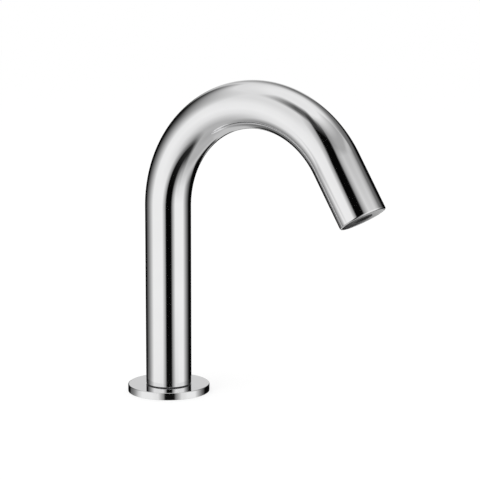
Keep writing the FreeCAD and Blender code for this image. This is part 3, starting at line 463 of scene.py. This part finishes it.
def strip_faces(here: int, there: int, count: int, closed: bool = True) -> list[Face]:
    """Joins two rows of points with four-sided faces.

    Args:
        here: number of the first row's first point.
        there: number of the second row's first point.
        count: how many points a row has.
        closed: whether a row's last point is beside its first.

    Returns:
        The corner numbers of each face.
    """
    steps = [(step, (step + 1) % count) for step in range(count if closed else count - 1)]
    return [(here + step, here + after, there + after, there + step) for step, after in steps]


@dataclass(frozen=True)
class ProfilePoint:
    """A point of an outline round an axis, in mm, with the surface's normal there."""

    radius: float
    height: float
    outward: float
    upward: float

    @property
    def place(self) -> tuple[float, float]:
        """Returns the point without its normal."""
        return self.radius, self.height


def rounded_corner(radius: float, height: float, round_radius: float, start: float, end: float,
                   steps: int) -> list[ProfilePoint]:
    """Makes the points of a rounded corner of an outline.

    Args:
        radius: radius of the rounding's middle from the axis.
        height: height of the rounding's middle.
        round_radius: the rounding.
        start: first angle, in degrees, 0 is outward and 90 is up.
        end: last angle.
        steps: how many pieces the rounding has.

    Returns:
        The points, each with its normal.
    """
    points = []
    for step in range(steps + 1):
        angle = math.radians(start + (end - start) * step / steps)
        outward, upward = math.cos(angle), math.sin(angle)
        points.append(ProfilePoint(radius + round_radius * outward,
                                   height + round_radius * upward, outward, upward))
    return points


@dataclass(frozen=True)
class BentLine:
    """The tube's middle line: up the column, round the bend and out along the outlet, in mm."""

    column_height: float = 131.65
    bend_radius: float = 73.2
    bend_sweep: float = 149.1
    outlet_length: float = 39.7

    @property
    def bend_length(self) -> float:
        """Returns the bend's length along the line."""
        return self.bend_radius * math.radians(self.bend_sweep)

    @property
    def length(self) -> float:
        """Returns the whole line's length."""
        return self.column_height + self.bend_length + self.outlet_length

    def turn_at(self, along: float) -> float:
        """Returns how far the line has turned, in radians, at a distance along it."""
        return min(max(along - self.column_height, 0.0), self.bend_length) / self.bend_radius

    def point(self, along: float) -> Vector:
        """Finds the line's point at a distance along it.

        Args:
            along: the distance from the deck.

        Returns:
            The point.
        """
        if along <= self.column_height:
            return Vector((0.0, 0.0, along))
        turn = self.turn_at(along)
        after = max(along - self.column_height - self.bend_length, 0.0)
        reach = self.bend_radius * (1 - math.cos(turn)) + after * math.sin(turn)
        rise = self.bend_radius * math.sin(turn) + after * math.cos(turn)
        return Vector((reach, 0.0, self.column_height + rise))

    def along_axis(self, along: float) -> Vector:
        """Returns the line's direction."""
        turn = self.turn_at(along)
        return Vector((math.sin(turn), 0.0, math.cos(turn)))

    def inner_axis(self, along: float) -> Vector:
        """Returns the direction towards the inside of the bend."""
        turn = self.turn_at(along)
        return Vector((math.cos(turn), 0.0, -math.sin(turn)))


@dataclass(frozen=True)
class SweptSkin:
    """A closed skin in metres: its points, its faces and the normals at each face's corners."""

    vertices: list[Vector]
    faces: list[Face]
    corner_normals: list[Vector]


def sweep(line: BentLine, outline: list[ProfilePoint], sides: int) -> SweptSkin:
    """Carries an outline round the tube's middle line.

    Args:
        line: the line. The outline's heights are distances along it.
        outline: the outline in order, up on its outside and down on its inside. A sharp corner is
            two points at one place, each with its own face's normal.
        sides: how many steps a turn has.

    Returns:
        The skin.
    """
    turns = [2 * math.pi * step / sides for step in range(sides)]
    across = Vector((0, 1, 0))
    vertices, normals = [], []
    rows: dict[tuple[float, float], int] = {}
    for point in outline:
        inner, axis = line.inner_axis(point.height), line.along_axis(point.height)
        spokes = [inner * math.cos(turn) + across * math.sin(turn) for turn in turns]
        normals.append([spoke * point.outward + axis * point.upward for spoke in spokes])
        if point.place not in rows:
            rows[point.place] = len(rows) * sides
            centre = line.point(point.height) * MM
            vertices += [centre + spoke * (point.radius * MM) for spoke in spokes]
    faces, corner_normals = [], []
    for index, point in enumerate(outline):
        after = (index + 1) % len(outline)
        here, there = rows[point.place], rows[outline[after].place]
        if here == there:
            continue
        for face in strip_faces(here, there, sides):
            faces.append(face)
            corner_normals += [normals[index][corner - here] for corner in face[:2]]
            corner_normals += [normals[after][corner - there] for corner in face[2:]]
    return SweptSkin(vertices, faces, corner_normals)


# ---------------------------------------------------------------- the tap's new pieces
@dataclass
class SpoutTube:
    """The bent chromed tube, with its rounded ends and the holes of its two screws, in mm."""

    line: BentLine
    outer_radius: float = 16.0
    inner_radius: float = 14.0
    foot: float = 5.55
    foot_round: float = 0.4
    foot_lip: float = 0.15
    mouth_round: float = 1.0
    mouth_lip: float = 0.9
    stop_level: float = 20.0
    stop_hole_radius: float = 2.025
    lock_level: float = 18.5
    lock_hole_radius: float = 1.525
    drill_depth: float = 10.0
    drill_sides: int = 64
    sides: int = 240
    round_steps: int = 6
    column_rings: int = 50
    bend_rings: int = 220
    outlet_rings: int = 25
    fewest_rings: int = 4
    bore_share: float = 0.25
    # A face that leans further than this cosine from the wall's normal is a hole's side.
    wall_lean: float = 0.7
    # Two points are one if they are the same in this many steps to a metre.
    match_steps: float = 1e7

    def stations(self, low: float, high: float, share: float) -> list[float]:
        """Finds where the rings between two ends lie, close together round the bend.

        Args:
            low: the first end, along the line.
            high: the last end.
            share: how many of the full number of rings to make.

        Returns:
            Distances along the line, without the two ends.
        """
        start = self.line.column_height
        end = start + self.line.bend_length
        stretches = ((low, start, self.column_rings), (start, end, self.bend_rings),
                     (end, high, self.outlet_rings))
        made = []
        for first, last, full in stretches:
            count = max(int(full * share), self.fewest_rings)
            made += [first + (last - first) * (step + 1) / count for step in range(count)]
        return made[:-1]

    def outline(self) -> list[ProfilePoint]:
        """Makes the wall's outline: up the outside from the foot, over the mouth, down the bore.

        Returns:
            The outline, its heights being distances along the line.
        """
        low, high = self.foot, self.line.length
        outer, inner, steps = self.outer_radius, self.inner_radius, self.round_steps
        foot, mouth, heel, lip = self.foot_round, self.mouth_round, self.foot_lip, self.mouth_lip
        outside = self.stations(low + foot, high - mouth, 1.0)
        bore = self.stations(low + heel, high - lip, self.bore_share)
        return [
            *rounded_corner(outer - foot, low + foot, foot, -90, 0, steps),
            *(ProfilePoint(outer, along, 1.0, 0.0) for along in outside),
            *rounded_corner(outer - mouth, high - mouth, mouth, 0, 90, steps),
            *rounded_corner(inner + lip, high - lip, lip, 90, 180, steps),
            *(ProfilePoint(inner, along, -1.0, 0.0) for along in reversed(bore)),
            *rounded_corner(inner + heel, low + heel, heel, 180, 270, steps // 2),
        ]

    def make_drills(self) -> bpy.types.Object:
        """Makes the cutters of the stop screw's and the lock screw's holes.

        Returns:
            The two cutters as one object.
        """
        holes = ((self.stop_level, Vector((-1, 0, 0)), self.stop_hole_radius),
                 (self.line.length - self.lock_level, Vector((0, 1, 0)), self.lock_hole_radius))
        mesh = bmesh.new()
        for along, axis, radius in holes:
            centre = self.line.point(along) + axis * self.outer_radius
            turn = axis.to_track_quat("Z", "Y").to_matrix().to_4x4()
            bmesh.ops.create_cone(mesh, cap_ends=True, segments=self.drill_sides,
                                  radius1=radius * MM, radius2=radius * MM,
                                  depth=self.drill_depth * MM,
                                  matrix=Matrix.Translation(centre * MM) @ turn)
        data = bpy.data.meshes.new("drills")
        mesh.to_mesh(data)
        mesh.free()
        return put_in_scene("drills", data)

    def drill(self, piece: bpy.types.Object) -> None:
        """Cuts the two screw holes through the tube's wall.

        Args:
            piece: the tube.
        """
        drills = self.make_drills()
        cut = piece.modifiers.new("drill", "BOOLEAN")
        cut.operation = "DIFFERENCE"
        cut.solver = "MANIFOLD"
        cut.object = drills
        graph = bpy.context.evaluated_depsgraph_get()
        mesh = bpy.data.meshes.new_from_object(piece.evaluated_get(graph))
        piece.modifiers.clear()
        piece.data = mesh
        bpy.data.objects.remove(drills)

    def key(self, place: Vector) -> tuple[int, ...]:
        """Returns a point in whole steps, so that equal points can be found."""
        return tuple(round(part * self.match_steps) for part in place)

    def cut_normal(self, place: Vector, flat: Vector) -> Vector:
        """Finds the normal at the edge of a screw hole.

        Args:
            place: the point, in mm.
            flat: normal of the face that it belongs to.

        Returns:
            The normal of the tube's wall, or the face's own inside the hole.
        """
        if place.z < self.line.column_height and place.x < 0:
            along = place.z
        else:
            end = self.line.length
            along = end + (place - self.line.point(end)).dot(self.line.along_axis(end))
        out = place - self.line.point(along)
        out.normalize()
        if abs(out.dot(flat)) < self.wall_lean:
            return flat
        return out if out.dot(flat) > 0 else -out

    def set_normals(self, piece: bpy.types.Object, skin: SweptSkin) -> None:
        """Gives every corner of the drilled mesh the true surface's normal.

        Args:
            piece: the drilled tube.
            skin: the tube's skin before it was drilled.
        """
        mesh = piece.data
        corners = (corner for face in skin.faces for corner in face)
        known = {self.key(skin.vertices[corner]): normal
                 for corner, normal in zip(corners, skin.corner_normals)}
        at_vertex = [known.get(self.key(vertex.co)) for vertex in mesh.vertices]
        made = [(0.0, 0.0, 1.0)] * len(mesh.loops)
        mesh.shade_smooth()
        for polygon in mesh.polygons:
            for loop in polygon.loop_indices:
                index = mesh.loops[loop].vertex_index
                place = mesh.vertices[index].co / MM
                made[loop] = tuple(at_vertex[index] or self.cut_normal(place, polygon.normal))
        mesh.normals_split_custom_set(made)

    def make(self) -> bpy.types.Object:
        """Makes the tube's piece.

        Returns:
            The piece, riding on the spout.
        """
        skin = sweep(self.line, self.outline(), self.sides)
        piece = make_piece("chrome_tube", skin.vertices, skin.faces)
        self.drill(piece)
        self.set_normals(piece, skin)
        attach(piece, Body.SPOUT.value)
        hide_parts("spout_tube")
        return piece


@dataclass
class CoverFlange:
    """The round chromed flange: rounded rim, the tube's opening and the recesses below, in mm."""

    line: BentLine
    rim: float = 28.8
    thickness: float = 5.0
    rim_round: float = 0.6
    bore: float = 13.7
    recess: float = 22.25
    recess_top: float = 3.05
    groove_inner: float = 24.0
    groove_outer: float = 27.4
    groove_depth: float = 1.2
    chamfer: float = 0.06
    sides: int = 256
    rim_steps: int = 10
    chamfer_steps: int = 2

    def outline(self) -> list[ProfilePoint]:
        """Makes the flange's outline: up the rim, over the top, down the bore, along the underside.

        Returns:
            The outline, with the faces' own normals at its sharp corners.
        """
        tiny, steps = self.chamfer, self.chamfer_steps
        top, groove = self.recess_top, self.groove_depth
        inward, outward, down = (-1.0, 0.0), (1.0, 0.0), (0.0, -1.0)
        underside = (
            ((self.bore, top), (self.recess, top), down),
            ((self.recess, top), (self.recess, 0.0), inward),
            ((self.recess, 0.0), (self.groove_inner, 0.0), down),
            ((self.groove_inner, 0.0), (self.groove_inner, groove), outward),
            ((self.groove_inner, groove), (self.groove_outer, groove), down),
            ((self.groove_outer, groove), (self.groove_outer, 0.0), inward),
        )
        points = [
            *rounded_corner(self.rim - tiny, tiny, tiny, -90, 0, steps),
            *rounded_corner(self.rim - self.rim_round, self.thickness - self.rim_round,
                            self.rim_round, 0, 90, self.rim_steps),
            *rounded_corner(self.bore + tiny, self.thickness - tiny, tiny, 90, 180, steps),
            ProfilePoint(self.bore, top, *inward),
        ]
        for start, end, normal in underside:
            points += [ProfilePoint(*start, *normal), ProfilePoint(*end, *normal)]
        return points + [ProfilePoint(self.groove_outer, 0.0, *down)]

    def make(self) -> bpy.types.Object:
        """Makes the flange's piece.

        Returns:
            The piece, riding on the base.
        """
        skin = sweep(self.line, self.outline(), self.sides)
        piece = make_piece("chrome_flange", skin.vertices, skin.faces, skin.corner_normals)
        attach(piece, Body.BASE.value)
        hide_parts("cover_flange")
        return piece


# ---------------------------------------------------------------- studio
@dataclass(frozen=True)
class Panel:
    """A patch of light or black cloth with soft sides, and the display tone it shows in chrome.

    The four sides are in degrees on the tent and in mm on the card. Each side has its own fade,
    which starts at the side and ends that far outside it.
    """

    name: str
    left: float
    right: float
    low: float
    high: float
    fade_left: float
    fade_right: float
    fade_low: float
    fade_high: float
    tone: float

    def share(self, across: float, up: float, turn: float = math.inf) -> float:
        """Finds how much of the panel is seen at a place.

        Args:
            across: the place, to the right.
            up: the place, upwards.
            turn: length of a full turn, where the places go round.

        Returns:
            The share, 0 to 1.
        """
        if not self.low - self.fade_low < up < self.high + self.fade_high:
            return 0.0
        half = (self.right - self.left) / 2
        offset = across - (self.left + self.right) / 2
        if turn < math.inf:
            offset = (offset + turn / 2) % turn - turn / 2
        depths = (
            (offset + half + self.fade_left) / self.fade_left,
            (half + self.fade_right - offset) / self.fade_right,
            (up - self.low + self.fade_low) / self.fade_low,
            (self.high + self.fade_high - up) / self.fade_high,
        )
        return math.prod(min(max(depth, 0.0), 1.0) for depth in depths)


@dataclass
class Cloth:
    """Shared ways of the tent and the card: a grid of glowing cloth that only shiny pieces show."""

    front_azimuth: float = FRONT_AZIMUTH
    mirror_share: float = 0.90
    unseen_by: tuple[str, ...] = ("camera", "diffuse", "transmission", "shadow", "volume_scatter")

    def light(self, tone: float) -> float:
        """Returns the light that shows as a display tone of 0 to 255 in chrome."""
        level = tone / FULL_TONE
        return Color((level, level, level)).from_srgb_to_scene_linear().r / self.mirror_share

    def hang(self, name: str, vertices: list[Vector], faces: list[Face],
             glow: list[float], cover: list[float]) -> None:
        """Makes the cloth, which only shiny surfaces see.

        Args:
            name: the object's name.
            vertices: points, in metres.
            faces: corner numbers of each face.
            glow: light of each point.
            cover: how opaque the cloth is at each point.
        """
        mesh = bpy.data.meshes.new(name)
        mesh.from_pydata([tuple(vertex) for vertex in vertices], [], faces)
        tint = mesh.color_attributes.new(name="glow", type="FLOAT_COLOR", domain="POINT")
        parts = [part for grey, opaque in zip(glow, cover) for part in (grey, grey, grey, opaque)]
        tint.data.foreach_set("color", parts)
        material = bpy.data.materials.new(name + "_cloth")
        bench = ShaderBench(material)
        attribute = bench.add("ShaderNodeAttribute", attribute_name="glow")
        emission = bench.add("ShaderNodeEmission")
        clear = bench.add("ShaderNodeBsdfTransparent")
        bench.link(attribute.outputs["Color"], emission.inputs["Color"])
        bench.end_with_mix(attribute.outputs["Alpha"], clear.outputs["BSDF"],
                           emission.outputs["Emission"])
        material.cycles.emission_sampling = "NONE"
        mesh.materials.append(material)
        cloth = put_in_scene(name, mesh)
        for ray in self.unseen_by:
            setattr(cloth, "visible_" + ray, False)


@dataclass
class LightTent(Cloth):
    """A round tent of white cloth with black flags, seen only in shiny surfaces."""

    radius: float = 3.0
    middle: Triple = (0.07, 0.0, 0.12)
    columns: int = 360
    rows: int = 180
    # Elevation and tone of the plain cloth, from straight below to straight above.
    plain_cloth: tuple[tuple[float, float], ...] = (
        (-90, 165), (-72, 176), (-58, 174), (-45, 198), (-30, 224), (-12, 236), (8, 232),
        (30, 217), (55, 219), (72, 232), (90, 228))
    panels: tuple[Panel, ...] = (
        Panel("rear floor", 163, 196, -62, -12, 6, 10, 10, 12, 190),
        Panel("rear wall", 160, 200, 3, 30, 10, 10, 4, 6, 203),
        Panel("rear edge", 156, 196, -16, -3, 8, 8, 3, 4, 20),
        Panel("right rear low", 129, 159, -36, -10, 7, 6, 10, 28, 0),
        Panel("right top", 7, 102, 45, 53, 18, 13, 9, 19, 166),
        Panel("right slope", 84, 120, 30, 42, 14, 20, 12, 5, 190),
        Panel("left side", -150, -146, -16, 21, 12, 68, 2, 29, 8),
        Panel("left low", -155, -124, -44, -17, 14, 30, 28, 2, 112),
        Panel("left low flag", -170, -158, -28, 4, 3, 8, 10, 14, 2),
        Panel("left flag", -160, -141, -16, 4, 4, 12, 6, 14, 2),
        Panel("right side", 137, 162, -28, 29, 54, 5, 18, 10, 8),
        Panel("rear top", 113, 168, 27, 36, 5, 33, 9, 21, 108),
        Panel("left top gap", -37, -12, 54, 63, 40, 12, 10, 12, 87),
        Panel("beside the mouth", 167.4, 175, -26, -20, 1, 3, 3, 2, 3),
        Panel("under the mouth", 162, 165.6, -26, -19, 3, 1.6, 4, 2, 172),
    )

    def tone(self, azimuth: float, elevation: float) -> float:
        """Finds the tent's display tone in a direction.

        Args:
            azimuth: the direction from the front, in degrees.
            elevation: the direction's height above the horizon, in degrees.

        Returns:
            The tone, 0 to 255.
        """
        for (low, tone), (high, following) in zip(self.plain_cloth, self.plain_cloth[1:]):
            if elevation <= high:
                made = tone + (following - tone) * (elevation - low) / (high - low)
                break
        for panel in self.panels:
            made += (panel.tone - made) * panel.share(azimuth, elevation, 360)
        return made

    def make(self) -> None:
        """Makes the tent."""
        vertices, faces, glow = [], [], []
        for row in range(self.rows + 1):
            elevation = -90 + 180 * row / self.rows
            level, rise = math.cos(math.radians(elevation)), math.sin(math.radians(elevation))
            for column in range(self.columns):
                azimuth = -180 + 360 * column / self.columns
                turn = math.radians(azimuth + self.front_azimuth)
                direction = Vector((math.cos(turn) * level, math.sin(turn) * level, rise))
                vertices.append(Vector(self.middle) + direction * self.radius)
                glow.append(self.light(self.tone(azimuth, elevation)))
        for row in range(self.rows):
            faces += strip_faces(row * self.columns, (row + 1) * self.columns, self.columns)
        self.hang("light_tent", vertices, faces, glow, [1.0] * len(glow))


@dataclass
class BlackCard(Cloth):
    """An upright black card between the tap and the camera: the dark line down the tap's front."""

    distance: float = 400.0
    left: float = -400.0
    right: float = 620.0
    low: float = -1460.0
    high: float = 960.0
    column_step: float = 5.0
    row_step: float = 10.0
    panels: tuple[Panel, ...] = (
        Panel("glow", -50, 145, -590, 225, 145, 170, 210, 710, 112),
        Panel("foot", -15, 165, -700, -525, 365, 435, 745, 490, 57),
        Panel("gap", -40, 118, -30, 488, 31, 36, 860, 395, 6),
    )

    def tone(self, across: float, up: float) -> tuple[float, float]:
        """Finds how the card looks at a place, each panel lying over the ones before it.

        Args:
            across: the place, to the right of the tap's column.
            up: the place, above the deck.

        Returns:
            The display tone, and how opaque the card is.
        """
        tone, cover = 0.0, 0.0
        for panel in self.panels:
            share = panel.share(across, up)
            total = share + cover * (1 - share)
            if total > 0:
                tone = (panel.tone * share + tone * cover * (1 - share)) / total
            cover = total
        return tone, cover

    def make(self) -> None:
        """Makes the card."""
        turn = math.radians(self.front_azimuth)
        forward = Vector((math.cos(turn), math.sin(turn), 0)) * self.distance
        aside = Vector((-math.sin(turn), math.cos(turn), 0))
        columns = int((self.right - self.left) / self.column_step) + 1
        rows = int((self.high - self.low) / self.row_step) + 1
        vertices, faces, glow, cover = [], [], [], []
        for row in range(rows):
            up = self.low + row * self.row_step
            for column in range(columns):
                across = self.left + column * self.column_step
                tone, share = self.tone(across, up)
                vertices.append((forward + aside * across + Vector((0, 0, up))) * MM)
                glow.append(self.light(tone))
                cover.append(share)
        for row in range(rows - 1):
            faces += strip_faces(row * columns, (row + 1) * columns, columns, closed=False)
        self.hang("black_card", vertices, faces, glow, cover)


@dataclass
class Studio:
    """The floor, the white surroundings, the soft lamp, the tent and the card, in metres."""

    floor_half: float = 6.0
    # Just under the base, so that their two faces don't lie in one plane.
    floor_level: float = -0.0002
    floor_colour: Triple = (1.0, 1.0, 1.0)
    floor_white_share: float = 0.65
    level_light: float = 1.0
    seen_white: float = 1.0
    lamp_power: float = 6.0
    lamp_size: float = 1.2
    lamp_azimuth: float = FRONT_AZIMUTH - 50
    lamp_height: float = 1.4
    lamp_aim: Triple = (0.07, 0.0, 0.1)

    def make_floor(self) -> None:
        """Makes the pale floor, which keeps the tap's shadow and is part of the stage."""
        corners = ((-1, -1), (1, -1), (1, 1), (-1, 1))
        places = [Vector((x * self.floor_half, y * self.floor_half, self.floor_level))
                  for x, y in corners]
        floor = make_piece("floor", places, [(0, 1, 2, 3)])
        material = bpy.data.materials.new("floor_paper")
        bench = ShaderBench(material)
        paper = bench.add("ShaderNodeBsdfDiffuse")
        paper.inputs["Color"].default_value = (*self.floor_colour, 1.0)
        white = bench.add("ShaderNodeEmission")
        bench.pale_to_view(paper.outputs["BSDF"], white.outputs["Emission"],
                           self.floor_white_share)
        material.cycles.emission_sampling = "NONE"
        floor.data.materials.append(material)
        floor.visible_glossy = False

    def make_world(self) -> None:
        """Makes the surroundings: white to look at, level light on matt surfaces."""
        world = bpy.data.worlds.new("studio_white")
        bpy.context.scene.world = world
        bench = ShaderBench(world)
        level, seen = bench.add("ShaderNodeBackground"), bench.add("ShaderNodeBackground")
        for background, strength in ((level, self.level_light), (seen, self.seen_white)):
            background.inputs["Color"].default_value = (1.0, 1.0, 1.0, 1.0)
            background.inputs["Strength"].default_value = strength
        bench.pale_to_view(level.outputs["Background"], seen.outputs["Background"])

    def make_lamp(self) -> None:
        """Makes one large soft lamp above, to the left of the camera."""
        data = bpy.data.lights.new("soft_box", "AREA")
        data.shape = "SQUARE"
        data.size = self.lamp_size
        data.energy = self.lamp_power
        lamp = put_in_scene("soft_box", data)
        turn = math.radians(self.lamp_azimuth)
        lamp.location = Vector((math.cos(turn), math.sin(turn), self.lamp_height))
        lamp.rotation_mode = "QUATERNION"
        lamp.rotation_quaternion = (Vector(self.lamp_aim) - lamp.location).to_track_quat("-Z", "Y")
        lamp.visible_glossy = False
        lamp.visible_camera = False

    def make(self) -> None:
        """Builds the whole studio."""
        self.make_floor()
        self.make_world()
        self.make_lamp()
        LightTent().make()
        BlackCard().make()
        bpy.context.scene.view_settings.view_transform = "Standard"
        LOG.info("studio ready")


@dataclass(frozen=True)
class PhotoCamera:
    """The camera at the photograph's place, in mm and radians, its clipping in metres."""

    place: Triple = (610.34, -787.47, 264.16)
    yaw: float = 0.609
    pitch: float = -0.156
    roll: float = 0.003
    sensor_width: float = 36.0
    focal_pixels: float = 1441.8
    clip_start: float = 0.05
    clip_end: float = 50.0

    def make(self) -> None:
        """Makes the camera and sets it as the scene's."""
        data = bpy.data.cameras.new("photo_camera")
        data.sensor_width = self.sensor_width
        data.lens = self.sensor_width * self.focal_pixels / PHOTO_WIDTH
        data.clip_start, data.clip_end = self.clip_start, self.clip_end
        cos_yaw, sin_yaw = math.cos(self.yaw), math.sin(self.yaw)
        cos_pitch, sin_pitch = math.cos(self.pitch), math.sin(self.pitch)
        forward = Vector((-sin_yaw * cos_pitch, cos_yaw * cos_pitch, sin_pitch))
        level_right = Vector((cos_yaw, sin_yaw, 0.0))
        level_up = Vector((sin_yaw * sin_pitch, -cos_yaw * sin_pitch, cos_pitch))
        right = level_right * math.cos(self.roll) + level_up * math.sin(self.roll)
        up = level_up * math.cos(self.roll) - level_right * math.sin(self.roll)
        matrix = Matrix((right, up, -forward)).transposed().to_4x4()
        matrix.translation = Vector(self.place) * MM
        camera = put_in_scene("photo_camera", data)
        camera.matrix_world = matrix
        bpy.context.scene.camera = camera


def main() -> None:
    """Builds the camera, the tap and its studio."""
    logging.basicConfig(level=logging.INFO, format="%(name)s: %(message)s")
    PhotoCamera().make()
    wardrobe = Wardrobe()
    wardrobe.dress_nodes()
    line = BentLine()
    for builder in (SpoutTube(line), CoverFlange(line)):
        piece = builder.make()
        wardrobe.dress(piece, Slot.CHROME)
        LOG.info("made %s with %d faces", piece.name, len(piece.data.polygons))
    Studio().make()


if __name__ == "__main__":
    main()
